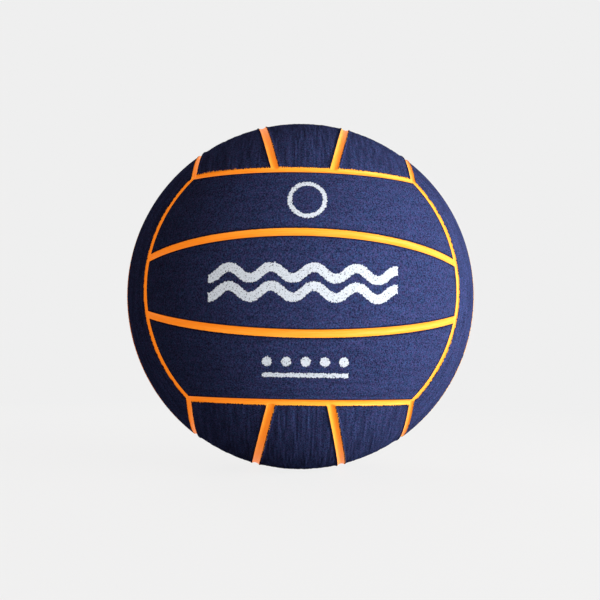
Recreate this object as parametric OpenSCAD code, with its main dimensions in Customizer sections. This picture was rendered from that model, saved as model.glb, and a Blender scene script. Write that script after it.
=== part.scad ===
// Water polo ball with 18 cover panels, in millimetres.
// The origin is the ball's centre, +Z is up, the face of three level panels that the player sees
// first looks toward -Y, and the valve sits in the middle of the opposite face, toward +Y.

/* [Ball] */
// Diameter over the faces of the cover panels
ball_d = 172; // [160:1:230]

/* [Cover panels] */
// Thickness of a cover panel
panel_t = 1.3; // [1.1:0.05:2]

/* [Seam channels] */
// Width of the channel between two panels
channel_w = 3.4; // [2.4:0.1:5]
// Depth of the channel's floor below the faces of the panels
channel_depth = 0.8; // [0.5:0.05:1]
// Angle at the ball's centre between the middle of a face and each of its two inner seams
inner_seam_angle = 14.1; // [12:0.1:17]

/* [Layers under the cover] */
// Thickness of the rubber carcass under a panel
carcass_t = 0.5; // [0.5:0.05:1.2]
// Thickness of the wound nylon thread
winding_t = 0.5; // [0.4:0.05:1]
// Thickness of the bladder's wall
bladder_t = 0.5; // [0.5:0.05:1.2]
// Bond line left between two pieces that are glued or cured together
bond_gap = 0.15; // [0.1:0.01:0.2]

/* [Valve] */
// Diameter of the valve's head and neck, which pass through every layer
valve_neck_d = 9; // [7:0.5:12]
// Depth of the valve's head below the faces of the panels
valve_recess = 0.3; // [0.1:0.05:0.6]
// Length of the valve from its head to its inner end
valve_length = 16; // [14:0.5:22]
// Diameter of the flange that holds the valve to the bladder
valve_flange_d = 22; // [18:1:26]
// Thickness of that flange
valve_flange_t = 0.8; // [0.6:0.1:1.5]
// Diameter of the patch that strengthens the bladder round the valve
patch_d = 34; // [30:1:44]
// Thickness of that patch
patch_t = 0.6; // [0.5:0.05:1]
// Bore in the valve's head that an inflating needle enters
needle_d = 2; // [1.8:0.1:2.4]
// Length of that bore
needle_bore_length = 3.5; // [2.5:0.5:4.5]
// Diameter of the soft plug that seals round the needle
plug_d = 5; // [4:0.5:6]
// Length of that plug
plug_length = 8; // [6:0.5:9]
// Diameter of the air passage below the plug
air_passage_d = 3; // [2:0.5:3.5]

/* [Hidden] */
ball_r = ball_d / 2;

// Radii of the layers, from the outside inward
channel_floor_r = ball_r - channel_depth;
panel_in_r = ball_r - panel_t;
carcass_r = panel_in_r - bond_gap;
carcass_in_r = carcass_r - carcass_t;
winding_r = carcass_in_r - bond_gap;
winding_in_r = winding_r - winding_t;
bladder_r = winding_in_r - bond_gap;
bladder_in_r = bladder_r - bladder_t;
patch_r = bladder_in_r - bond_gap;
patch_in_r = patch_r - patch_t;
flange_r = patch_in_r - bond_gap;
flange_in_r = flange_r - valve_flange_t;

// Heights along the valve's axis, measured from the ball's centre
valve_head_z = ball_r - valve_recess;
valve_end_z = valve_head_z - valve_length;
pocket_top_z = valve_head_z - needle_bore_length;
pocket_length = plug_length + 2 * bond_gap;
pocket_d = plug_d + 2 * bond_gap;
valve_hole_d = valve_neck_d + 2 * bond_gap;

// A cut that has to pass right through a piece goes on by this much
overrun = ball_r / 20;

// The outer seams lie on the planes x, y and z = ball_r / sqrt(3), so that three of them meet
// at each corner of a cube, and from the axis of its plane each is seen at this angle
outer_seam_angle = acos(1 / sqrt(3));

// Each face is a turn of one face that looks along +Z and whose panels run along X,
// with the names of its panels from -Y to +Y in that position
FACES = [
    ["front", [90, 0, 0], ["lower", "middle", "upper"]],
    ["back", [90, 0, 180], ["lower", "middle", "upper"]],
    ["left", [0, -90, 0], ["front", "middle", "back"]],
    ["right", [0, 90, 0], ["front", "middle", "back"]],
    ["top", [0, 0, -90], ["left", "middle", "right"]],
    ["bottom", [180, 0, 90], ["left", "middle", "right"]]
];
SIDES = [-1, 0, 1];

function panel_name(face, side) = str(face[0], "_", face[2][side + 1], "_panel");

$fn = 192;

// A closed spherical wall. Its poles are turned to +Y and -Y, away from the panels it is cut into.
module wall(in_r, out_r) {
    rotate([90, 90, 0])
    difference() {
        sphere(out_r);
        sphere(in_r);
    }
}

// The inside of an outer seam's cone round +Z, out to a distance past the seam
module inside_outer_seam(past) {
    translate([0, 0, -past / sin(outer_seam_angle)])
    cylinder(h = ball_d, r1 = 0, r2 = ball_d * tan(outer_seam_angle));
}

// The +Z side of an inner seam's plane, from a distance before the seam
module beyond_inner_seam(before) {
    translate([0, 0, -before]) cylinder(h = ball_d, r = ball_d);
}

// What lies past the +Y edge of a panel: an outer seam for the panel on that side of its face,
// an inner seam for the other two
module past_edge(side, half_channel) {
    if (side == 1)
        rotate([-90, 0, 0]) inside_outer_seam(half_channel);
    else
        rotate([-90 - (side == 0 ? 1 : -1) * inner_seam_angle, 0, 0])
        beyond_inner_seam(half_channel);
}

// A panel's room between two radii, for the panel itself or, with a gap round it, for its pocket
module panel_room(side, in_r, out_r, gap) {
    half_channel = channel_w / 2 - gap;
    difference() {
        intersection() {
            wall(in_r, out_r);
            inside_outer_seam(-half_channel);
        }
        past_edge(side, half_channel);
        mirror([0, 1, 0]) past_edge(-side, half_channel);
    }
}

// The hole through one layer for the valve's neck
module valve_hole() {
    rotate([-90, 0, 0]) cylinder(d = valve_hole_d, h = ball_r + overrun);
}

// Navy rubber panel with square ends, bonded into its pocket in the carcass
module cover_panel(face, side) {
    color("#2c2f5e")
    difference() {
        rotate(face[1]) panel_room(side, panel_in_r, ball_r, 0);
        valve_hole();
    }
}

// Orange rubber layer under the cover. It has a pocket for each panel,
// and the ribs left between the pockets are the floors of the seam channels.
module carcass() {
    color("#ff8a1c")
    difference() {
        sphere(channel_floor_r);
        sphere(carcass_in_r);
        for (face = FACES, side = SIDES)
            rotate(face[1]) panel_room(side, carcass_r, ball_r + overrun, bond_gap);
        valve_hole();
    }
}

// A plain closed layer, with its hole for the valve
module layer(in_r, out_r) {
    difference() {
        wall(in_r, out_r);
        valve_hole();
    }
}

// Nylon thread wound round the bladder in every direction, which keeps the ball round
module thread_winding() {
    color("#e8e2d0") layer(winding_in_r, winding_r);
}

// Butyl rubber bladder that holds the air
module bladder() {
    color("#26262a") layer(bladder_in_r, bladder_r);
}

// Round patch on the inside of the bladder, where the valve goes through it
module valve_patch() {
    color("#3a3a40")
    intersection() {
        layer(patch_in_r, patch_r);
        rotate([-90, 0, 0]) cylinder(d = patch_d, h = ball_r);
    }
}

// Rubber valve: its neck and barrel, the curved flange that is bonded to the patch,
// the needle's bore, the plug's pocket and the air passage below it
module valve_body() {
    color("#1c1c20")
    rotate([-90, 0, 0])
    difference() {
        union() {
            translate([0, 0, valve_end_z]) cylinder(d = valve_neck_d, h = valve_length);
            intersection() {
                wall(flange_in_r, flange_r);
                cylinder(d = valve_flange_d, h = ball_r);
            }
        }
        translate([0, 0, pocket_top_z - pocket_length]) cylinder(d = pocket_d, h = pocket_length);
        translate([0, 0, pocket_top_z - bond_gap]) cylinder(d = needle_d, h = ball_r);
        translate([0, 0, valve_end_z - overrun])
        cylinder(d = air_passage_d, h = pocket_top_z - valve_end_z - pocket_length / 2 + overrun);
    }
}

// Soft plug whose closed slit seals the ball and lets a needle through
module valve_plug() {
    color("#5a5a5e")
    rotate([-90, 0, 0])
    translate([0, 0, pocket_top_z - bond_gap - plug_length])
    cylinder(d = plug_d, h = plug_length);
}

for (face = FACES, side = SIDES)
    cover_panel(face, side);
carcass();
thread_winding();
bladder();
valve_patch();
valve_body();
valve_plug();
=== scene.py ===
"""A water polo ball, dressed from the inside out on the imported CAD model, in metres."""
import math

import bpy
import numpy as np
from mathutils import Euler, Matrix, Vector


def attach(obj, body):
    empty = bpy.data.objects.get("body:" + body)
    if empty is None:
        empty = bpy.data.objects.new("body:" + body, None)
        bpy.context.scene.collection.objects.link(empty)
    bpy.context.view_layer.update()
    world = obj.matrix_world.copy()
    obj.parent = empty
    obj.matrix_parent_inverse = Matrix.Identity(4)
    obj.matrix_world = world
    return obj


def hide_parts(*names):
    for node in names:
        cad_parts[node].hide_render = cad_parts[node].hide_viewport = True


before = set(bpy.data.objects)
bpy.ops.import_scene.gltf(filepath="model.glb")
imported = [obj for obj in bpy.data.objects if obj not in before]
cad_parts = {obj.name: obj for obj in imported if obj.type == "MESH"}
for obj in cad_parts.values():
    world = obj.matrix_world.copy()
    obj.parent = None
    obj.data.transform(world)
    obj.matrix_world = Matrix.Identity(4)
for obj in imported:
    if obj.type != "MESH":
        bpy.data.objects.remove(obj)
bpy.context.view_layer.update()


# Bladder
# A hollow ball of butyl rubber, moulded thin and nearly airtight. It holds the air, and
# everything else is built up on the outside of it while it is inflated.
MM = 0.001


def linear(colour):
    """An sRGB hex value as the linear colour that a shader works in"""
    shares = [int(colour[i:i + 2], 16) / 255 for i in (1, 3, 5)]
    return [s / 12.92 if s <= 0.04045 else ((s + 0.055) / 1.055) ** 2.4 for s in shares] + [1]


def add(material, kind, inputs=None, stops=(), **settings):
    """Adds a node with its settings, a ramp's stops, and a value or a socket for each input"""
    node = material.node_tree.nodes.new(kind)
    for name, value in settings.items():
        setattr(node, name, value)
    for number, (position, colour) in enumerate(stops):
        elements = node.color_ramp.elements
        stop = elements[number] if number < len(elements) else elements.new(position)
        stop.position, stop.color = position, linear(colour)
    for socket, value in (inputs or {}).items():
        if isinstance(value, bpy.types.NodeSocket):
            material.node_tree.links.new(value, node.inputs[socket])
        else:
            node.inputs[socket].default_value = value
    return node


def new_material(name):
    """An empty node material"""
    material = bpy.data.materials.new(name)
    material.use_nodes = True
    material.node_tree.nodes.clear()
    return material


def paint_piece(piece, material):
    """Gives a piece one material"""
    piece.data.materials.clear()
    piece.data.materials.append(material)


# Moulded butyl rubber is black with a low gloss. Its bloom, a grey film of wax that comes to
# the surface in storage, shows as soft clouds some 8 mm wide. Its pores are drawn 0.6 mm wide,
# coarser than real ones, so that they show.
butyl = new_material("moulded_butyl_rubber")
place = add(butyl, "ShaderNodeTexCoord").outputs["Object"]
bloom = add(butyl, "ShaderNodeTexNoise", {"Vector": place, "Scale": 1 / (8 * MM), "Detail": 4.0})
pores = add(butyl, "ShaderNodeTexNoise", {"Vector": place, "Scale": 1 / (0.6 * MM), "Detail": 3.0})
relief = add(butyl, "ShaderNodeBump", {"Height": pores.outputs["Fac"], "Strength": 0.3,
                                       "Distance": 0.03 * MM})
tint = add(butyl, "ShaderNodeValToRGB", {"Fac": bloom.outputs["Fac"]},
           stops=[(0.35, "#141416"), (0.7, "#2C2C30")])
dullness = add(butyl, "ShaderNodeMapRange", {"Value": bloom.outputs["Fac"], "To Min": 0.35,
                                             "To Max": 0.6})
shader = add(butyl, "ShaderNodeBsdfPrincipled", {
    "Base Color": tint.outputs["Color"], "Roughness": dullness.outputs[0],
    "Normal": relief.outputs["Normal"]})
add(butyl, "ShaderNodeOutputMaterial", {"Surface": shader.outputs[0]})
paint_piece(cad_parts["bladder"], butyl)


# Valve patch
# A disc of calendered rubber sheet, cemented inside the bladder round the valve's hole so that
# the thin wall doesn't tear there. Its face keeps the weave of the cloth it was rolled up in.
def wave_scale(spacing):
    """The Scale that puts the bands of a wave texture a spacing apart, in metres"""
    return 2 * math.pi / (20 * spacing)


# Calendered rubber is matt and dark grey. The weave pressed into it, 0.9 mm from thread to
# thread, shows as faint checks.
sheet_rubber = new_material("calendered_rubber_sheet")
place = add(sheet_rubber, "ShaderNodeTexCoord").outputs["Object"]
weave = [add(sheet_rubber, "ShaderNodeTexWave", {"Vector": place, "Scale": wave_scale(0.9 * MM)},
             bands_direction=direction) for direction in ("X", "Z")]
cloth = add(sheet_rubber, "ShaderNodeMath", {0: weave[0].outputs["Fac"],
                                             1: weave[1].outputs["Fac"]}, operation="MULTIPLY")
relief = add(sheet_rubber, "ShaderNodeBump", {"Height": cloth.outputs[0], "Strength": 0.6,
                                              "Distance": 0.05 * MM})
tint = add(sheet_rubber, "ShaderNodeValToRGB", {"Fac": cloth.outputs[0]},
           stops=[(0.1, "#303034"), (0.8, "#3E3E44")])
shader = add(sheet_rubber, "ShaderNodeBsdfPrincipled", {
    "Base Color": tint.outputs["Color"], "Roughness": 0.75, "Normal": relief.outputs["Normal"]})
add(sheet_rubber, "ShaderNodeOutputMaterial", {"Surface": shader.outputs[0]})
paint_piece(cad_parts["valve_patch"], sheet_rubber)


# Valve body
# One moulding of black rubber: the head that shows in the cover, the neck through every layer,
# the curved flange that is vulcanised to the patch, and the barrel that holds the plug.
def mesh_piece(name, points, faces, sharp_above=40):
    """A smooth-shaded object from points in millimetres and a list of faces"""
    mesh = bpy.data.meshes.new(name)
    mesh.from_pydata((np.asarray(points) * MM).tolist(), [], faces)
    mesh.polygons.foreach_set("use_smooth", np.ones(len(mesh.polygons), bool))
    mesh.set_sharp_from_angle(angle=math.radians(sharp_above))
    mesh.update()
    piece = bpy.data.objects.new(name, mesh)
    bpy.context.scene.collection.objects.link(piece)
    return piece


def rounded(corners, steps=5):
    """A closed outline from corners of (radius, height, rounding), with each corner rounded"""
    corners = np.array(corners, float)
    places, roundings = corners[:, :2], corners[:, 2]
    outline = []
    for i, rounding in enumerate(roundings):
        corner = places[i]
        before, after = places[i - 1] - corner, places[(i + 1) % len(places)] - corner
        if rounding == 0:
            outline.append(corner)
            continue
        start = corner + before / np.linalg.norm(before) * rounding
        end = corner + after / np.linalg.norm(after) * rounding
        for t in np.linspace(0, 1, steps):
            outline.append((1 - t) ** 2 * start + 2 * t * (1 - t) * corner + t * t * end)
    return np.array(outline)


def turned(name, outline, segments=96):
    """A piece turned round the valve's axis, +Y, from an outline of (radius, height) pairs"""
    angles = np.arange(segments) * 2 * np.pi / segments
    radius, height = outline[:, 0], outline[:, 1]
    points = np.stack([np.outer(np.cos(angles), radius), np.tile(height, (segments, 1)),
                       np.outer(-np.sin(angles), radius)], -1).reshape(-1, 3)
    n = len(outline)
    faces = [[a * n + i, a * n + (i + 1) % n, (a + 1) % segments * n + (i + 1) % n,
              (a + 1) % segments * n + i] for a in range(segments) for i in range(n)]
    return mesh_piece(name, points, faces)


# Radii, and heights along the valve's axis, in millimetres
HEAD_Z, END_Z = 85.7, 69.7
HEAD_R, NECK_R, FLANGE_R = 4.62, 4.5, 11.0
LIP_FOOT, LIP_SLOPE = 1.4, 0.2                # depth of the head's lip, and of the slope below it
DISH_R, DISH_TOP_R, DISH_DEPTH = 3.0, 3.3, 0.25
FUNNEL_R, FUNNEL_DEPTH = 1.9, 1.0             # leads the needle into the bore
BORE_R, PLUG_POCKET_R, AIR_R = 1.0, 2.65, 1.5
POCKET_TOP, POCKET_FLOOR = 82.2, 73.9
FLANGE_TOP, FLANGE_UNDER = 81.85, 81.05       # radii round the ball's centre

mid_r = (NECK_R + FLANGE_R) / 2
flange = [(r, math.sqrt(face ** 2 - r ** 2)) for r, face in (
    (mid_r, FLANGE_TOP), (FLANGE_R, FLANGE_TOP), (FLANGE_R, FLANGE_UNDER), (mid_r, FLANGE_UNDER))]
# Each corner of the outline with the radius it is rounded to
valve_corners = [
    (BORE_R, HEAD_Z - FUNNEL_DEPTH, 0.25), (FUNNEL_R, HEAD_Z - DISH_DEPTH, 0.3),
    (DISH_R, HEAD_Z - DISH_DEPTH, 0.12), (DISH_TOP_R, HEAD_Z, 0.12), (HEAD_R, HEAD_Z, 0.3),
    (HEAD_R, HEAD_Z - LIP_FOOT, 0.1), (NECK_R, HEAD_Z - LIP_FOOT - LIP_SLOPE, 0.1),
    (NECK_R, FLANGE_TOP - 0.1, 0.8), (*flange[0], 1.0), (*flange[1], 0.3), (*flange[2], 0.3),
    (*flange[3], 1.0), (NECK_R, FLANGE_UNDER - 0.1, 0.8), (NECK_R, END_Z, 0.6),
    (AIR_R, END_Z, 0.3), (AIR_R, POCKET_FLOOR, 0), (PLUG_POCKET_R, POCKET_FLOOR, 0),
    (PLUG_POCKET_R, POCKET_TOP, 0), (BORE_R, POCKET_TOP, 0),
]
valve_body = turned("valve_body_moulding", rounded(valve_corners))

# Moulded black rubber with a satin skin. Talc left from the mould greys and dulls it a little,
# in patches 1.5 mm wide.
valve_rubber = new_material("moulded_valve_rubber")
place = add(valve_rubber, "ShaderNodeTexCoord").outputs["Object"]
talc = add(valve_rubber, "ShaderNodeTexNoise", {"Vector": place, "Scale": 1 / (1.5 * MM),
                                                "Detail": 5.0})
relief = add(valve_rubber, "ShaderNodeBump", {"Height": talc.outputs["Fac"], "Strength": 0.25,
                                              "Distance": 0.04 * MM})
tint = add(valve_rubber, "ShaderNodeValToRGB", {"Fac": talc.outputs["Fac"]},
           stops=[(0.4, "#121214"), (0.75, "#28282C")])
dullness = add(valve_rubber, "ShaderNodeMapRange", {"Value": talc.outputs["Fac"], "To Min": 0.4,
                                                    "To Max": 0.6})
shader = add(valve_rubber, "ShaderNodeBsdfPrincipled", {
    "Base Color": tint.outputs["Color"], "Roughness": dullness.outputs[0],
    "Specular IOR Level": 0.3, "Normal": relief.outputs["Normal"]})
add(valve_rubber, "ShaderNodeOutputMaterial", {"Surface": shader.outputs[0]})
paint_piece(valve_body, valve_rubber)
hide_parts("valve_body")
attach(valve_body, "root")


# Valve plug
# A soft slug of grey gum rubber, pressed into the barrel. Its cut closes when the needle comes
# out. It is cast, so its skin is dull and slightly grainy.
gum = new_material("cast_gum_rubber")
place = add(gum, "ShaderNodeTexCoord").outputs["Object"]
grains = add(gum, "ShaderNodeTexNoise", {"Vector": place, "Scale": 1 / (0.5 * MM), "Detail": 3.0})
relief = add(gum, "ShaderNodeBump", {"Height": grains.outputs["Fac"], "Strength": 0.4,
                                     "Distance": 0.05 * MM})
tint = add(gum, "ShaderNodeValToRGB", {"Fac": grains.outputs["Fac"]},
           stops=[(0.3, "#55555A"), (0.7, "#64646A")])
shader = add(gum, "ShaderNodeBsdfPrincipled", {
    "Base Color": tint.outputs["Color"], "Roughness": 0.8, "Normal": relief.outputs["Normal"]})
add(gum, "ShaderNodeOutputMaterial", {"Surface": shader.outputs[0]})
paint_piece(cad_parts["valve_plug"], gum)


# Thread winding
# Nylon thread wound round the bladder in every direction and set in latex, which keeps the
# ball round.

# White nylon thread stands out of the yellow latex that sets it, and both have a low sheen. Each
# direction is a family of parallel turns, which are about 1 mm apart and are drawn 2 mm apart to
# show.
thread = new_material("wound_nylon_thread_in_latex")
place = add(thread, "ShaderNodeTexCoord").outputs["Object"]
families = []
for tilt in ((0, 0, 0), (1.1, 0.4, 0), (2.0, 0.9, 0), (0.5, 1.5, 0.7)):
    turned_place = add(thread, "ShaderNodeMapping", {"Vector": place, "Rotation": tilt})
    families.append(add(thread, "ShaderNodeTexWave", {
        "Vector": turned_place.outputs[0], "Scale": wave_scale(2.0 * MM), "Distortion": 1.5,
        "Detail": 1.0, "Detail Scale": 0.4}, bands_direction="X").outputs["Fac"])
turns = families[0]
for family in families[1:]:
    turns = add(thread, "ShaderNodeMath", {0: turns, 1: family}, operation="MAXIMUM").outputs[0]
relief = add(thread, "ShaderNodeBump", {"Height": turns, "Strength": 1.0, "Distance": 0.2 * MM})
tint = add(thread, "ShaderNodeValToRGB", {"Fac": turns},
           stops=[(0.5, "#A89C78"), (0.85, "#E6E0CC"), (1.0, "#F0ECDE")])
shader = add(thread, "ShaderNodeBsdfPrincipled", {
    "Base Color": tint.outputs["Color"], "Roughness": 0.55, "Normal": relief.outputs["Normal"]})
add(thread, "ShaderNodeOutputMaterial", {"Surface": shader.outputs[0]})
paint_piece(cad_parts["thread_winding"], thread)


# Carcass
# The orange rubber layer that is moulded over the winding. It has a pocket for each panel, and
# the ribs left between the pockets are the floors of the seam channels.
PAINTED_GLOW_COLOUR = "#FF7500"     # colour of an even painted glow that stands in for light on the orange
PAINTED_GLOW_STRENGTH = 0.66           # and its strength

# Moulded rubber with a satin skin of fine pebbles, 0.7 mm wide. An even painted glow keeps its
# orange bright where little light falls.
moulded_orange = new_material("moulded_orange_rubber_with_painted_glow")
place = add(moulded_orange, "ShaderNodeTexCoord").outputs["Object"]
pebbles = add(moulded_orange, "ShaderNodeTexNoise", {"Vector": place, "Scale": 1 / (0.7 * MM),
                                                     "Detail": 3.0})
tint = add(moulded_orange, "ShaderNodeValToRGB", {"Fac": pebbles.outputs["Fac"]},
           stops=[(0.3, "#C8952E"), (0.7, "#D0A140")])
relief = add(moulded_orange, "ShaderNodeBump", {"Height": pebbles.outputs["Fac"], "Strength": 1.0,
                                                "Distance": 0.02 * MM})
shader = add(moulded_orange, "ShaderNodeBsdfPrincipled", {
    "Base Color": tint.outputs["Color"], "Roughness": 0.38, "Specular IOR Level": 0.09,
    "Emission Color": linear(PAINTED_GLOW_COLOUR), "Emission Strength": PAINTED_GLOW_STRENGTH,
    "Normal": relief.outputs["Normal"]})
add(moulded_orange, "ShaderNodeOutputMaterial", {"Surface": shader.outputs[0]})
paint_piece(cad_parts["carcass"], moulded_orange)


# Channel lining
# The orange skin that is flowed into the channels over the ribs, once the panels are in. It
# lies thin in the middle and climbs the panels' walls, so each channel is a smooth trough.
BALL_R = 86.0                 # millimetres, as all sizes here
INNER_SEAM = math.radians(14.1)               # from the middle of a face to an inner channel
INNER_HALF = 1.68             # from the middle of an inner channel to a panel's edge,
INNER_END_HALF = 1.58         # and at the channel's ends
INNER_RUN = 69                # half the length of an inner channel
OUTER_HALF = 1.46             # from the middle of an outer channel to a panel's long edge,
OUTER_END_HALF = 1.32         # and at the channel's ends
OUTER_RUN = 50                # half the length of an outer channel
END_HALF = 1.42               # from the middle of an outer channel to the end of a panel
WALL_HALF = 1.6               # least half of the width beside the carcass's ribs
LIP_R = 85.3                  # above this the panels' lips lean out over the ribs
LINING_GAP = 0.01             # left between the lining and a panel
LINING_UNDER = 85.21          # just above the carcass's ribs
LINING_FLOOR = 85.24
LINING_EDGE = 85.76

# Each face with its turn in degrees and its panels, from its -y side to its +y side
FACES = [
    ("front", (90, 0, 0), ("lower", "middle", "upper")),
    ("back", (90, 0, 180), ("lower", "middle", "upper")),
    ("left", (0, -90, 0), ("front", "middle", "back")),
    ("right", (0, 90, 0), ("front", "middle", "back")),
    ("top", (0, 0, -90), ("left", "middle", "right")),
    ("bottom", (180, 0, 90), ("left", "middle", "right")),
]


def face_turn(turn):
    """The turn of a face from its own frame, with its panels along x and z outward"""
    return np.array(Euler([math.radians(a) for a in turn], "XYZ").to_matrix())


def halves(x, r=BALL_R):
    """Half widths at x along the ribs: inner channel, outer channel, and the one at panels' ends"""
    inner = INNER_HALF - (INNER_HALF - INNER_END_HALF) * np.minimum(np.abs(x) / INNER_RUN, 1) ** 2
    outer = OUTER_HALF - (OUTER_HALF - OUTER_END_HALF) * np.minimum(np.abs(x) / OUTER_RUN, 1) ** 2
    least = 0 if r > LIP_R else WALL_HALF
    return np.maximum(inner, least), np.maximum(outer, least), max(END_HALF, least)


def outer_circle(r, offset):
    """Height and radius, in a face's frame, of the circle an offset inside the outer seam"""
    height = np.sqrt(r ** 2 - offset ** 2) / math.sqrt(3) + offset * math.sqrt(2 / 3)
    return height, np.sqrt(r ** 2 - height ** 2)


# Half the angles of the arcs of an outer and an inner seam
OUTER_ARC = math.pi / 4
INNER_ARC = math.acos(1 / (math.sqrt(3) * math.cos(INNER_SEAM)))

# Each seam is an arc of a circle: the circle's axis, its height as a share of the radius, the
# arc's middle, half the arc's angle and half the channel's width
seams = []
for _, turn, _ in FACES:
    to_ball = face_turn(turn)
    for sign in (-1, 1):
        seams.append((to_ball @ [0, 0, 1], 1 / math.sqrt(3), to_ball @ [sign, 0, 0], OUTER_ARC,
                      (END_HALF + OUTER_HALF) / 2))
        axis = [0, sign * math.cos(INNER_SEAM), -math.sin(INNER_SEAM)]
        middle = [0, sign * math.sin(INNER_SEAM), math.cos(INNER_SEAM)]
        seams.append((to_ball @ axis, 0.0, to_ball @ middle, INNER_ARC, INNER_HALF))


def lining_radius(points):
    """The lining's surface over points of the ball, from the distance to the nearest seam"""
    directions = points / np.linalg.norm(points, axis=-1, keepdims=True)
    nearest = np.full(directions.shape[:-1], np.inf)
    for axis, share, middle, half_angle, half in seams:
        height = directions @ axis
        flat = directions - height[..., None] * axis
        along = flat @ middle / np.maximum(np.linalg.norm(flat, axis=-1), 1e-9)
        beside = BALL_R * np.abs(np.sin(np.arcsin(np.clip(height, -1, 1)) - math.asin(share)))
        cross = np.cross(axis, middle)
        width = math.sqrt(1 - share * share)
        ends = [share * axis + width * (math.cos(half_angle) * middle
                                        + s * math.sin(half_angle) * cross) for s in (-1, 1)]
        past = np.minimum(*[BALL_R * np.linalg.norm(directions - end, axis=-1) for end in ends])
        nearest = np.minimum(nearest, np.where(along > math.cos(half_angle), beside, past) / half)
    climb = np.clip(nearest, 0, 1) ** 2
    return LINING_FLOOR + (LINING_EDGE - LINING_FLOOR) * climb


BEVEL = math.atan(0.5)        # the strips meet at corners on planes such as 2x = y + z


def outer_strip(k, offset, r, sign):
    """A point of an outer channel: k from 0 to 1 along it, between the mitres at its corners"""
    height, width = outer_circle(r, offset)
    share = height / (width * math.sqrt(5))
    end = np.where(offset >= 0, np.arccos(share) - BEVEL, np.arcsin(share) + BEVEL)
    angle = end * (2 * k - 1)
    return np.stack([sign * width * np.cos(angle), sign * width * np.sin(angle),
                     height + 0 * angle], -1)


def inner_strip(k, offset, r, sign):
    """A point of an inner channel: k from 0 to 1 along it, between the two outer channels"""
    height, _ = outer_circle(r, END_HALF - LINING_GAP)
    ring = np.sqrt(r ** 2 - offset ** 2)
    end = np.arccos((height + offset * math.sin(INNER_SEAM)) / (ring * math.cos(INNER_SEAM)))
    angle = end * (2 * k - 1)
    y = offset * math.cos(INNER_SEAM) + ring * np.cos(angle) * math.sin(INNER_SEAM)
    z = -offset * math.sin(INNER_SEAM) + ring * np.cos(angle) * math.cos(INNER_SEAM)
    return np.stack([sign * ring * np.sin(angle), sign * y, z], -1)


def closed_strip(upper, under):
    """Faces of a closed strip from the grids of its upper and its under side"""
    rows, columns = upper.shape[:2]
    index = np.arange(rows * columns).reshape(rows, columns)
    low = index + rows * columns

    def quads(a, b, c, d):
        return np.stack([a, b, c, d], -1).reshape(-1, 4)

    sheets = [
        quads(index[:-1, :-1], index[1:, :-1], index[1:, 1:], index[:-1, 1:]),
        quads(low[:-1, :-1], low[:-1, 1:], low[1:, 1:], low[1:, :-1]),
        quads(index[:-1, 0], low[:-1, 0], low[1:, 0], index[1:, 0]),
        quads(index[:-1, -1], index[1:, -1], low[1:, -1], low[:-1, -1]),
        quads(index[0, :-1], index[0, 1:], low[0, 1:], low[0, :-1]),
        quads(index[-1, :-1], low[-1, :-1], low[-1, 1:], index[-1, 1:]),
    ]
    points = np.concatenate([upper.reshape(-1, 3), under.reshape(-1, 3)])
    return points, np.concatenate(sheets)


ALONG, ACROSS = 121, 15       # points along and across a strip, closer together at its sides
SIDEWARD = math.pi / 2 * 0.9
steps_along = np.linspace(0, 1, ALONG)[:, None]
across_channel = np.sin(np.linspace(-1, 1, ACROSS) * SIDEWARD) / math.sin(SIDEWARD)
lining_points, lining_faces, lining_flow, used = [], [], [], 0
for _, turn, _ in FACES:
    to_ball = face_turn(turn)
    for strip, radius, arc in ((outer_strip, BALL_R * math.sqrt(2 / 3), OUTER_ARC),
                               (inner_strip, BALL_R, INNER_ARC)):
        inner, outer, end = halves(radius * np.sin(arc * (2 * steps_along - 1)))
        if strip is inner_strip:
            offsets = across_channel * (inner - LINING_GAP)
        else:
            offsets = across_channel * (np.where(across_channel > 0, end, outer) - LINING_GAP)
        for sign in (-1, 1):
            rough = strip(steps_along, offsets, LINING_FLOOR, sign) @ to_ball.T
            upper = strip(steps_along, offsets, lining_radius(rough), sign) @ to_ball.T
            under = strip(steps_along, offsets, LINING_UNDER, sign) @ to_ball.T
            points, faces = closed_strip(upper, under)
            # The distances along and across the strip, and its number, which sets its streaks
            flow = np.stack(np.broadcast_arrays(
                2 * arc * radius * steps_along, offsets, len(lining_points)), -1)
            lining_flow.append(np.tile(flow.reshape(-1, 3), (2, 1)))
            lining_points.append(points)
            lining_faces.append(faces + used)
            used += len(points)
lining = mesh_piece("channel_lining", np.concatenate(lining_points),
                    np.concatenate(lining_faces).tolist())
lining.data.attributes.new("flow", "FLOAT_VECTOR", "POINT").data.foreach_set(
    "vector", np.concatenate(lining_flow).astype(np.float32).ravel())


# The same orange rubber, laid on as a liquid: it dries in faint streaks along the channel,
# 0.5 mm wide and 12 mm long, and its skin draws up the sides, so one side of the trough looks
# bright and the other deep orange. Its painted glow is dimmed up the sides, a painted shade.
flowed_orange = new_material("flowed_orange_rubber_with_painted_glow")
flow = add(flowed_orange, "ShaderNodeAttribute", attribute_name="flow").outputs["Vector"]
stretched = add(flowed_orange, "ShaderNodeMapping", {
    "Vector": flow, "Scale": (1 / 12, 1 / 0.5, 9.7)})
streaks = add(flowed_orange, "ShaderNodeTexNoise", {"Vector": stretched.outputs[0], "Scale": 1.0,
                                                    "Detail": 3.0})
tint = add(flowed_orange, "ShaderNodeValToRGB", {"Fac": streaks.outputs["Fac"]},
           stops=[(0.35, "#C6922C"), (0.65, "#D2A244")])
across = add(flowed_orange, "ShaderNodeMath", {
    0: add(flowed_orange, "ShaderNodeSeparateXYZ", {0: flow}).outputs["Y"]}, operation="ABSOLUTE")
drawn_up = add(flowed_orange, "ShaderNodeMath", {0: across.outputs[0], 1: 2.0}, operation="POWER")
streaked = add(flowed_orange, "ShaderNodeMath", {0: streaks.outputs["Fac"], 1: 0.03},
               operation="MULTIPLY")
surface = add(flowed_orange, "ShaderNodeMath", {
    0: drawn_up.outputs[0], 1: 0.12, 2: streaked.outputs[0]}, operation="MULTIPLY_ADD")
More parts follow.
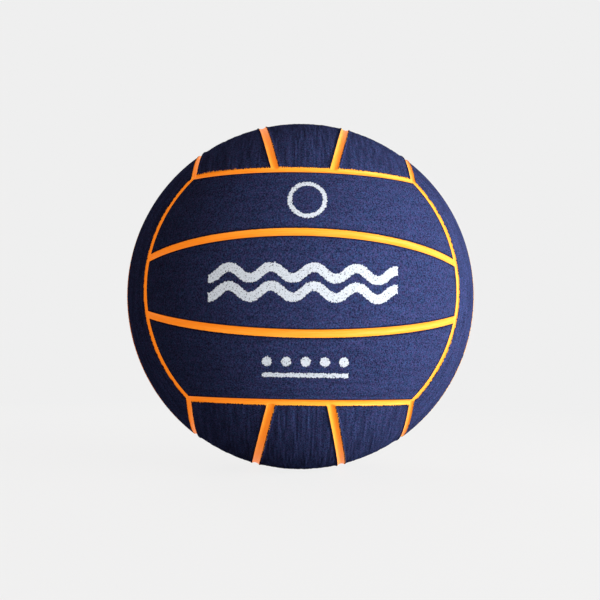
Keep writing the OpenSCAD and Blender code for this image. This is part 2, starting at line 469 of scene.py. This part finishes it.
relief = add(flowed_orange, "ShaderNodeBump", {"Height": surface.outputs[0], "Strength": 1.0,
                                               "Distance": MM})
# The painted glow fades up the trough's sides: a painted shade
painted_side_shade = add(flowed_orange, "ShaderNodeMapRange", {"Value": across.outputs[0], "From Min": 1.2,
                                                    "From Max": 1.7, "To Max": 0.25})
glow = add(flowed_orange, "ShaderNodeMix", {0: painted_side_shade.outputs[0], 6: linear(PAINTED_GLOW_COLOUR),
                                            7: linear("#000000")}, data_type="RGBA")
shader = add(flowed_orange, "ShaderNodeBsdfPrincipled", {
    "Base Color": tint.outputs["Color"], "Roughness": 0.38, "Specular IOR Level": 0.09,
    "Emission Color": glow.outputs[2], "Emission Strength": PAINTED_GLOW_STRENGTH,
    "Normal": relief.outputs["Normal"]})
add(flowed_orange, "ShaderNodeOutputMaterial", {"Surface": shader.outputs[0]})
paint_piece(lining, flowed_orange)
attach(lining, "root")


# Cover panels
# Eighteen pieces of navy rubber, three to a face, moulded with fine grip ribs that run along
# them, cut out and bonded into the carcass's pockets. Their rims stand up a little.
PANEL_UNDER = 84.7
WALL_R = 85.15                # where the lips end and the walls stand beside the ribs
PANEL_LENGTH = 102.4          # along the grip ribs
MIDDLE_WIDTH, SIDE_WIDTH = 38.9, 28.4         # across them, on the middle and the other panels
STEP_ALONG, STEP_ACROSS = 0.42, 0.2           # of the mesh
UNDER_ALONG, UNDER_ACROSS = 14, 6             # points of the plain underside
RIM_TOP, RIM_WIDTH = 0.4, 1.1                 # width of the rim's flat top, and with its slope
RIM_HEIGHT = 0.22
RIM_SUNK = 0.02               # the rim's top below the ball's full radius
EDGE_ROUND = 0.2
RIB_WIDTH, RIB_RUN = 0.8, 7.0                 # of one rib, before the next one replaces it
RIB_DEPTH = 0.3
RIB_TABLE = (64, 128)         # heights drawn for the stretches of a panel's ribs
CREST_DEPTH, VALLEY_DEPTH = 0.3, 0.48         # below the ball's full radius
EDGE_SHADE_WIDTH, EDGE_SHADE_DARKNESS = 0.95, 0.8            # how wide and how dark the painted shade along a panel's edge is
VALVE_HOLE_R = 4.65
VALVE_RING_R, VALVE_RING_SLOPE = 6.4, 0.9     # a smooth raised ring round the valve's hole
VALVE_RING_HEIGHT = 0.2
# How far orange crept over the panels of a face, in millimetres: in teeth over their ends, and
# over their long edges on the side of the face's -y and +y
CREEP = {"front": (0.4, 0.1, 0.1), "back": (0.6, 0.4, 0.2), "left": (0.5, 0.3, 0.1),
         "right": (0.5, 0.5, 0.2), "top": (1.7, 0.6, 0.1), "bottom": (0.9, 0.7, 0.1)}


def panel_points(side, r, k, t):
    """Points of a panel at radius r, with k from -1 to 1 along it and t from 0 to 1 across it"""
    end_z, _ = outer_circle(r, halves(0, r)[2])

    def edges(x):
        inner_half, outer_half, _ = halves(x, r)
        ring = np.sqrt(r ** 2 - x ** 2)
        past_seam = np.arcsin(inner_half / ring)
        if side == 0:
            return ring, past_seam - INNER_SEAM, INNER_SEAM - past_seam
        outer_y, _ = outer_circle(r, -outer_half)
        inner, outer = INNER_SEAM + past_seam, np.arcsin(np.minimum(outer_y / ring, 1))
        return (ring, inner, outer) if side == 1 else (ring, -outer, -inner)

    # The panel's end at each t is found by halving
    near, far = np.zeros_like(t), np.full_like(t, r * math.sqrt(2 / 3))
    for _ in range(40):
        middle = (near + far) / 2
        ring, low, high = edges(middle)
        on_panel = ring * np.cos(low + (high - low) * t) > end_z
        near, far = np.where(on_panel, middle, near), np.where(on_panel, far, middle)
    x = r * np.sin(np.arcsin(near / r)[None, :] * k[:, None])
    ring, low, high = edges(x)
    angle = low + (high - low) * t
    return np.stack([x, ring * np.sin(angle), ring * np.cos(angle)], -1)


def edge_gaps(side, points):
    """Distances in millimetres, on the ball, to a panel's ends and to its -y and +y edges"""
    r = BALL_R
    x, y, z = np.moveaxis(points, -1, 0)
    inner_half, outer_half, _ = halves(x)
    end_z, _ = outer_circle(r, END_HALF)
    outer_y, _ = outer_circle(r, -outer_half)
    sine, cosine = math.sin(INNER_SEAM), math.cos(INNER_SEAM)

    def past_inner(height):
        return r * (np.arcsin(height / r) - np.arcsin(inner_half / r))

    def before_outer(height):
        return r * (np.arcsin(outer_y / r) - np.arcsin(height / r))

    end = r * (math.acos(end_z / r) - np.arccos(np.clip(z / r, -1, 1)))
    lean = z * sine if side == 0 else -z * sine
    low = before_outer(-y) if side == -1 else past_inner(lean + y * cosine)
    high = before_outer(y) if side == 1 else past_inner(lean - y * cosine)
    return end, low, high


def edge_steps(length, step):
    """Steps across a length as shares of it, even in the middle and finer at both edges"""
    edge = np.array([0, 0.05, 0.11, 0.18, 0.27, 0.38, 0.52, 0.7, 0.9, 1.15, 1.4])  # millimetres
    count = round((length - 2 * edge[-1]) / step)
    middle = np.linspace(edge[-1], length - edge[-1], count + 1)[1:-1]
    return np.concatenate([edge, middle, length - edge[::-1]]) / length


def smooth(low, high, value):
    """Rises smoothly from 0 at low to 1 at high"""
    share = np.clip((value - low) / (high - low), 0, 1)
    return share * share * (3 - 2 * share)


def grip_ribs(along, across, draw):
    """Relief of the fine grip ribs and of broader swells, from -1 in a valley to 0 on a crest"""
    relief = 0
    for width, run, share in ((RIB_WIDTH, RIB_RUN, 0.6), (2 * RIB_WIDTH, 1.5 * RIB_RUN, 0.4)):
        table = draw.uniform(0, 1, RIB_TABLE)
        u, v = along / run + RIB_TABLE[0] / 2, across / width + RIB_TABLE[1] / 2
        i, j = np.floor(u).astype(int), np.floor(v).astype(int)
        fu, fv = smooth(0, 1, u - i), smooth(0, 1, v - j)
        near = table[i, j] * (1 - fv) + table[i, j + 1] * fv
        far = table[i + 1, j] * (1 - fv) + table[i + 1, j + 1] * fv
        relief = relief - share * (near * (1 - fu) + far * fu)
    return relief


def cover_panel(name, turn, side, draw, has_valve):
    """One panel as a closed piece"""
    to_ball = face_turn(turn)
    k = 2 * edge_steps(PANEL_LENGTH, STEP_ALONG) - 1
    t = edge_steps(MIDDLE_WIDTH if side == 0 else SIDE_WIDTH, STEP_ACROSS)
    rows, columns = len(k), len(t)
    points = panel_points(side, BALL_R, k, t)
    end_gap, *side_gaps = edge_gaps(side, points)
    side_gap = np.minimum(*side_gaps)
    gap = np.minimum(end_gap, side_gap)
    rim = 1 - smooth(RIM_TOP, RIM_WIDTH, gap)
    relief = RIB_DEPTH * grip_ribs(points[..., 0], points[..., 1], draw)
    # The ribs run out to the panel's ends and fade before its long edges
    relief = relief * smooth(0.2, 1.6, side_gap) * smooth(0, 0.4, end_gap)
    if has_valve:
        # The ribs fade out before the ring round the valve's hole
        from_valve = np.hypot(points[..., 0], points[..., 1])
        relief = relief * smooth(VALVE_RING_R, VALVE_RING_R + 2, from_valve)
        ring = 1 - smooth(VALVE_RING_R - VALVE_RING_SLOPE, VALVE_RING_R, from_valve)
        relief = relief + VALVE_RING_HEIGHT * ring
        gap = np.minimum(gap, np.maximum(from_valve - VALVE_HOLE_R, 0))
    past_flat = np.clip(EDGE_ROUND - gap, 0, EDGE_ROUND)
    rounding = EDGE_ROUND - np.sqrt(EDGE_ROUND ** 2 - past_flat ** 2)
    height = -RIM_SUNK - RIM_HEIGHT * (1 - rim) - rounding + relief
    top = points * (1 + height / BALL_R)[..., None]

    index = np.arange(rows * columns).reshape(rows, columns)
    loop = np.concatenate([index[0], index[1:, -1], index[-1, -2::-1], index[-2:0:-1, 0]])
    walls = [panel_points(side, r, k, t).reshape(-1, 3)[loop] for r in (WALL_R, PANEL_UNDER)]
    under = panel_points(side, PANEL_UNDER, k, t)
    rings = len(loop)
    first_wall, last_wall = rows * columns, rows * columns + rings
    on_wall = {vertex: last_wall + i for i, vertex in enumerate(loop)}

    # The underside is a coarse grid that still meets every point of the walls
    row_cuts = np.unique(np.linspace(0, rows - 1, UNDER_ALONG).astype(int))
    column_cuts = np.unique(np.linspace(0, columns - 1, UNDER_ACROSS).astype(int))
    inside = [(i, j) for i in row_cuts[1:-1] for j in column_cuts[1:-1]]
    on_under = {index[i, j]: last_wall + rings + number for number, (i, j) in enumerate(inside)}

    def under_vertex(i, j):
        return on_wall.get(index[i, j], on_under.get(index[i, j]))

    quads = np.stack([index[:-1, :-1], index[1:, :-1], index[1:, 1:], index[:-1, 1:]], -1)
    faces = quads.reshape(-1, 4).tolist()
    around = np.arange(rings)
    following = (around + 1) % rings
    for upper, lower in ((loop, first_wall + around), (first_wall + around, last_wall + around)):
        faces += np.stack([upper, upper[following], lower[following], lower], -1).tolist()
    for i0, i1 in zip(row_cuts[:-1], row_cuts[1:]):
        for j0, j1 in zip(column_cuts[:-1], column_cuts[1:]):
            walk = [(i0, j) for j in range(j0, j1) if j == j0 or i0 == 0]
            walk += [(i, j1) for i in range(i0, i1) if i == i0 or j1 == columns - 1]
            walk += [(i1, j) for j in range(j1, j0, -1) if j == j1 or i1 == rows - 1]
            walk += [(i, j0) for i in range(i1, i0, -1) if i == i1 or j0 == 0]
            faces.append([under_vertex(i, j) for i, j in walk])

    inner = np.array([under[i, j] for i, j in inside])
    everything = np.concatenate([top.reshape(-1, 3), walls[0], walls[1], inner])
    return mesh_piece(name, everything @ to_ball.T, faces)


# The print, on the panels of the front: two wave lines on the middle one, a ring on the upper
# one, and a row of dots over a line on the lower one. Places are along and across the ribs,
# from the middle of the face, in millimetres.
WAVE_PITCH, WAVE_SWING = 17.6, 2.3
WAVE_LINES = (-3.9, 3.9)
WAVE_HALF, WAVE_RUN = 1.9, 39.6               # half the width and half the length of a wave line
RING_ALONG, RING_ACROSS, RING_R, RING_HALF = 1.3, 35.4, 7.4, 0.9
DOT_ALONG, DOT_ACROSS, DOT_PITCH, DOT_R = 1.5, -32.4, 8, 2.0
LINE_ACROSS, LINE_HALF, LINE_RUN = -38.0, 0.9, 18


def ink_edge(place, along, across):
    """Distance past the edge of the print on one of the front panels"""
    if place == "middle":
        pace = 2 * np.pi / WAVE_PITCH
        swing, slope = WAVE_SWING * np.sin(pace * along), WAVE_SWING * pace * np.cos(pace * along)
        beside = np.min([np.abs(across - swing - line) for line in WAVE_LINES], axis=0)
        return np.maximum(beside / np.hypot(1, slope) - WAVE_HALF, np.abs(along) - WAVE_RUN)
    if place == "upper":
        return np.abs(np.hypot(along - RING_ALONG, across - RING_ACROSS) - RING_R) - RING_HALF
    dots = np.min([np.hypot(along - DOT_ALONG - DOT_PITCH * dot, across - DOT_ACROSS)
                   for dot in range(-2, 3)], axis=0)
    line = np.maximum(np.abs(across - LINE_ACROSS) - LINE_HALF,
                      np.abs(along - DOT_ALONG) - LINE_RUN)
    return np.minimum(dots - DOT_R, line)


def mark_points(panel, turn, side, face, place, draw):
    """Keeps on each point what the material needs to know about its place on the panel"""
    points = np.empty(len(panel.data.vertices) * 3, np.float32)
    panel.data.vertices.foreach_get("co", points)
    points = points.reshape(-1, 3).astype(float) / MM @ face_turn(turn)
    radius = np.linalg.norm(points, axis=1)
    along, across = points[:, 0], points[:, 1]
    gaps = edge_gaps(side, points * (BALL_R / radius)[:, None])
    nearest = np.min(gaps, axis=0)
    on_wall = (radius < BALL_R - 2 * EDGE_ROUND) & (nearest < EDGE_ROUND)
    # The creep swells and fades every 10 to 20 mm
    phase = draw.uniform(0, 2 * np.pi, 4)
    swell = (np.sin(along / 3.1 + phase[0]) * np.sin(along / 1.9 + phase[1])
             + np.sin(across / 2.7 + phase[2]) * np.sin(across / 1.7 + phase[3]))
    swell = 0.7 + 0.3 * swell
    margins = [np.where(on_wall, 0, gap) / (creep * swell)
               for gap, creep in zip(gaps, CREEP[face])]
    # Painted shade in the valleys: 0 on a rib's crest and 1 in a valley, but near 0.5, so weaker,
    # on the front and on every rim
    valley = smooth(CREST_DEPTH, VALLEY_DEPTH, BALL_R - radius) - 0.5
    valley_shade_share = (0.4 if face == "front" else 1.0) * smooth(RIM_TOP, 1.4, nearest)
    # Painted shade along a panel's edges and over its walls
    shaded_edge_share = 1 - smooth(EDGE_ROUND, EDGE_SHADE_WIDTH, np.where(on_wall, 0, nearest))
    marks = {"end_margin": margins[0], "side_margin": np.minimum(margins[1], margins[2]),
             "painted_edge_shade": EDGE_SHADE_DARKNESS * shaded_edge_share, "valley": 0.5 + valley_shade_share * valley}
    if face == "front":
        marks["ink_edge"] = ink_edge(place, along, across)
    for label, values in marks.items():
        panel.data.attributes.new(label, "FLOAT", "POINT").data.foreach_set(
            "value", values.astype(np.float32))
    panel.data.attributes.new("on_panel", "FLOAT_VECTOR", "POINT").data.foreach_set(
        "vector", np.stack([along, across, 0 * along], -1).astype(np.float32).ravel())


# Moulded navy rubber is dull, and its grain of small grip points breaks up the light. The grain
# and its changes of hue are drawn 0.6 and 1 mm wide, coarser than the real points, so that they
# show. Soft patches 14 mm wide vary its tone.
def navy_rubber(name, printed=False):
    """The panels' rubber, with or without the white print"""
    material = new_material(name)
    position = add(material, "ShaderNodeTexCoord").outputs["Object"]
    grain = add(material, "ShaderNodeTexNoise", {
        "Vector": position, "Scale": 1 / (0.6 * MM), "Detail": 2.0,
        "Roughness": 0.8}).outputs["Fac"]
    grip_points = add(material, "ShaderNodeValToRGB", {"Fac": grain},
                      stops=[(0.37, "#161629"), (0.63, "#4C5584")])
    clouds = add(material, "ShaderNodeTexNoise", {"Vector": position, "Scale": 1 / (14 * MM),
                                                  "Detail": 3.0})
    patches = add(material, "ShaderNodeValToRGB", {"Fac": clouds.outputs["Fac"]},
                  stops=[(0.35, "#2C3155"), (0.65, "#353E68")])
    colour = add(material, "ShaderNodeMix", {
        0: 0.2, 6: grip_points.outputs["Color"], 7: patches.outputs["Color"]}, data_type="RGBA")
    spots = add(material, "ShaderNodeTexNoise", {"Vector": position, "Scale": 1 / (1.0 * MM),
                                                 "Detail": 1.0})
    hue = add(material, "ShaderNodeValToRGB", {"Fac": spots.outputs["Fac"]},
              stops=[(0.35, "#D2FAFF"), (0.65, "#FFE6F6")])
    colour = add(material, "ShaderNodeMix", {0: 1.0, 6: colour.outputs[2],
                                             7: hue.outputs["Color"]},
                 data_type="RGBA", blend_type="MULTIPLY")
    # Painted shade: the valleys between the ribs are a little darker than their crests
    valley = add(material, "ShaderNodeAttribute", attribute_name="valley").outputs["Fac"]
    ribbed = add(material, "ShaderNodeValToRGB", {"Fac": valley},
                 stops=[(0.0, "#FFFFFF"), (1.0, "#D6D6D6")])
    colour = add(material, "ShaderNodeMix", {0: 1.0, 6: colour.outputs[2],
                                             7: ribbed.outputs["Color"]},
                 data_type="RGBA", blend_type="MULTIPLY")
    # Painted shade: a panel's edge and its walls are darkened where the edge turns down into the
    # channel
    painted_edge_shade = add(material, "ShaderNodeAttribute", attribute_name="painted_edge_shade").outputs["Fac"]
    colour = add(material, "ShaderNodeMix", {0: painted_edge_shade, 6: colour.outputs[2],
                                             7: linear("#06081A")}, data_type="RGBA")

    # Orange crept over a panel's ends in teeth 0.6 mm wide, along the valleys between its ribs,
    # and over its long edges in nicks 0.8 mm wide. It has the orange's painted glow, dimmed by the
    # painted shade where the edge turns down.
    on_panel = add(material, "ShaderNodeAttribute", attribute_name="on_panel").outputs["Vector"]
    stretched = add(material, "ShaderNodeMapping", {"Vector": on_panel, "Scale": (0.2, 1, 1)})
    furrows = add(material, "ShaderNodeTexNoise", {
        "Vector": stretched.outputs[0], "Scale": 1 / 0.6, "Detail": 2.0, "Roughness": 0.6})
    specks = add(material, "ShaderNodeTexNoise", {
        "Vector": on_panel, "Scale": 1 / 0.8, "Detail": 2.0, "Roughness": 0.6}).outputs["Fac"]
    tooth = add(material, "ShaderNodeMapRange", {"Value": furrows.outputs["Fac"],
                                                 "From Min": 0.42, "From Max": 0.66})
    nick = add(material, "ShaderNodeMapRange", {"Value": specks, "From Min": 0.42,
                                                "From Max": 0.66})
    at_end, at_side = [
        add(material, "ShaderNodeMath", {
            0: add(material, "ShaderNodeAttribute", attribute_name=margin).outputs["Fac"],
            1: reach.outputs[0]}, operation="LESS_THAN")
        for margin, reach in (("end_margin", tooth), ("side_margin", nick))]
    crept = add(material, "ShaderNodeMath", {0: at_end.outputs[0], 1: at_side.outputs[0]},
                operation="MAXIMUM").outputs[0]
    orange_glow = add(material, "ShaderNodeMix", {
        0: painted_edge_shade, 6: linear(PAINTED_GLOW_COLOUR), 7: linear("#7A3600")},
        data_type="RGBA").outputs[2]
    glow = add(material, "ShaderNodeMix", {0: crept, 6: linear("#000000"), 7: orange_glow},
               data_type="RGBA")

    if printed:
        # White ink, rolled on: its edge is ragged, and it misses the deepest points of the grain.
        # An even painted glow keeps it bright.
        edge = add(material, "ShaderNodeAttribute", attribute_name="ink_edge").outputs["Fac"]
        ragged = add(material, "ShaderNodeMapRange", {
            "Value": specks, "From Min": 0.3, "From Max": 0.7, "To Min": -0.35, "To Max": 0.35})
        rolled = add(material, "ShaderNodeMath", {0: edge, 1: ragged.outputs[0]},
                     operation="LESS_THAN")
        reached = add(material, "ShaderNodeMath", {0: grain, 1: 0.37}, operation="GREATER_THAN")
        inked = add(material, "ShaderNodeMath", {0: rolled.outputs[0], 1: reached.outputs[0]},
                    operation="MULTIPLY").outputs[0]
        ink = add(material, "ShaderNodeValToRGB", {"Fac": grain},
                  stops=[(0.38, "#8C949C"), (0.54, "#A8AEB4")])
        colour = add(material, "ShaderNodeMix", {0: inked, 6: colour.outputs[2],
                                                 7: ink.outputs["Color"]}, data_type="RGBA")
        glow = add(material, "ShaderNodeMix", {0: inked, 6: glow.outputs[2],
                                               7: linear("#BAC0C8")}, data_type="RGBA")

    colour = add(material, "ShaderNodeMix", {0: crept, 6: colour.outputs[2],
                                             7: linear("#CC9B38")}, data_type="RGBA")
    relief = add(material, "ShaderNodeBump", {"Height": grain, "Strength": 1.0,
                                              "Distance": 0.1 * MM})
    shader = add(material, "ShaderNodeBsdfPrincipled", {
        "Base Color": colour.outputs[2], "Roughness": 0.95, "Specular IOR Level": 0.0,
        "Emission Color": glow.outputs[2], "Emission Strength": PAINTED_GLOW_STRENGTH,
        "Normal": relief.outputs["Normal"]})
    add(material, "ShaderNodeOutputMaterial", {"Surface": shader.outputs[0]})
    return material


draw = np.random.default_rng(18)
navy = navy_rubber("ribbed_navy_rubber")
printed_navy = navy_rubber("ribbed_navy_rubber_with_white_ink", printed=True)
for name, turn, sides in FACES:
    for side, place_name in zip((-1, 0, 1), sides):
        node = f"{name}_{place_name}_panel"
        has_valve = node == "back_middle_panel"
        panel = cover_panel(node + "_ribbed", turn, side, draw, has_valve)
        if has_valve:
            # The hole for the valve is punched once the panel is moulded. The punch reaches
            # from 90 to 80 mm, above the panel and below it.
            punch = turned("punch", np.array([[0.001, 90], [VALVE_HOLE_R, 90],
                                              [VALVE_HOLE_R, 80], [0.001, 80]]))
            cut = panel.modifiers.new("hole", "BOOLEAN")
            cut.operation = "DIFFERENCE"
            cut.object = punch
            bpy.context.view_layer.objects.active = panel
            bpy.ops.object.modifier_apply(modifier=cut.name)
            bpy.data.objects.remove(punch)
        mark_points(panel, turn, side, name, place_name, draw)
        paint_piece(panel, printed_navy if name == "front" else navy)
        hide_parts(node)
        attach(panel, "root")


# Floor
# A plain pale sheet that the ball rests on. The camera sees it nearly as bright as the
# backdrop, with the ball's soft shadow left on it.
FLOOR_Z = -BALL_R * MM
FLOOR_HALF = 40.0             # metres
BACKDROP = "#EFEFEF"


def sees_backdrop(material):
    """1 for the rays that show the backdrop: the camera's own, and those in gloss and glass"""
    path = add(material, "ShaderNodeLightPath").outputs
    share = path["Is Camera Ray"]
    for other in ("Is Glossy Ray", "Is Transmission Ray"):
        share = add(material, "ShaderNodeMath", {0: share, 1: path[other]},
                    operation="MAXIMUM").outputs[0]
    return share


floor_mesh = bpy.data.meshes.new("floor")
floor_mesh.from_pydata([(-FLOOR_HALF, -FLOOR_HALF, FLOOR_Z), (FLOOR_HALF, -FLOOR_HALF, FLOOR_Z),
                        (FLOOR_HALF, FLOOR_HALF, FLOOR_Z), (-FLOOR_HALF, FLOOR_HALF, FLOOR_Z)],
                       [], [(0, 1, 2, 3)])
floor = bpy.data.objects.new("floor", floor_mesh)
bpy.context.scene.collection.objects.link(floor)
card = new_material("matt_pale_card")
lit = add(card, "ShaderNodeBsdfDiffuse", {"Color": linear("#ACACAC")})
# The shadow shows most beside the ball, and from 0.6 m away the floor is all backdrop
from_ball = add(card, "ShaderNodeVectorMath", {
    0: add(card, "ShaderNodeTexCoord").outputs["Object"]}, operation="LENGTH").outputs["Value"]
evenness, strength = [
    add(card, "ShaderNodeMapRange", {"Value": from_ball, "From Min": 0.1, "From Max": 0.6,
                                     "To Min": near, "To Max": 1.0}).outputs[0]
    for near in (0.86, 1.12)]
even = add(card, "ShaderNodeEmission", {"Color": linear(BACKDROP), "Strength": strength})
share = add(card, "ShaderNodeMath", {0: sees_backdrop(card), 1: evenness}, operation="MULTIPLY")
blend = add(card, "ShaderNodeMixShader", {0: share.outputs[0], 1: lit.outputs[0],
                                          2: even.outputs[0]})
add(card, "ShaderNodeOutputMaterial", {"Surface": blend.outputs[0]})
paint_piece(floor, card)


# Light
# A low softbox to the right of the ball, a larger and farther one in front on the right, one
# high behind it on the left, and an even, dim and slightly warm room. The backdrop is pale to
# the camera and in gloss.
def softbox(name, position, width, height, power, in_gloss=True):
    """A lamp that looks at the ball, with its sizes in metres and its power in watts"""
    data = bpy.data.lights.new(name, "AREA")
    data.shape = "RECTANGLE"
    data.size = width
    data.size_y = height
    data.energy = power
    lamp = bpy.data.objects.new(name, data)
    lamp.location = position
    lamp.rotation_euler = (-Vector(position)).to_track_quat("-Z", "Y").to_euler()
    lamp.visible_camera = False
    lamp.visible_glossy = in_gloss
    bpy.context.scene.collection.objects.link(lamp)


softbox("key_softbox", (0.514, -0.310, 0.02), width=0.5, height=0.22, power=6.9)
softbox("fill_softbox", (0.68, -0.92, 0.28), width=0.8, height=0.8, power=3.3)
softbox("back_softbox", (-0.35, 0.8, 0.55), width=0.6, height=0.4, power=4.0, in_gloss=False)

world = bpy.data.worlds.new("dim_room")
bpy.context.scene.world = world
world.use_nodes = True
world.node_tree.nodes.clear()
room = add(world, "ShaderNodeBackground", {"Color": linear("#FFE0CC"), "Strength": 0.25})
backdrop = add(world, "ShaderNodeBackground", {"Color": linear(BACKDROP), "Strength": 1.0})
blend = add(world, "ShaderNodeMixShader", {0: sees_backdrop(world), 1: room.outputs[0],
                                           2: backdrop.outputs[0]})
add(world, "ShaderNodeOutputWorld", {"Surface": blend.outputs[0]})
bpy.context.scene.view_settings.view_transform = "Standard"


# Camera
# It looks at the ball from the front, 0.44 m from its centre and a little below it. Its lens
# and shift give the photograph's frame.
CAMERA_DISTANCE = 5.06805 * BALL_R * MM
ROLL, TILT, PAN = 0.0153074, -0.0692537, 0.0132549
view_turn = (Matrix.Rotation(ROLL, 3, "Y") @ Matrix.Rotation(TILT, 3, "X")
             @ Matrix.Rotation(PAN, 3, "Z")).transposed()
right, up, back = [view_turn @ Vector(axis) for axis in ((1, 0, 0), (0, 0, 1), (0, -1, 0))]
camera_data = bpy.data.cameras.new("camera")
camera_data.sensor_width = 36.0
camera_data.lens = 51.695
camera_data.shift_x = -0.00065
camera_data.shift_y = -0.0058
camera = bpy.data.objects.new("camera", camera_data)
camera.matrix_world = (Matrix.Translation(back * CAMERA_DISTANCE)
                       @ Matrix((right, up, back)).transposed().to_4x4())
bpy.context.scene.collection.objects.link(camera)
bpy.context.scene.camera = camera
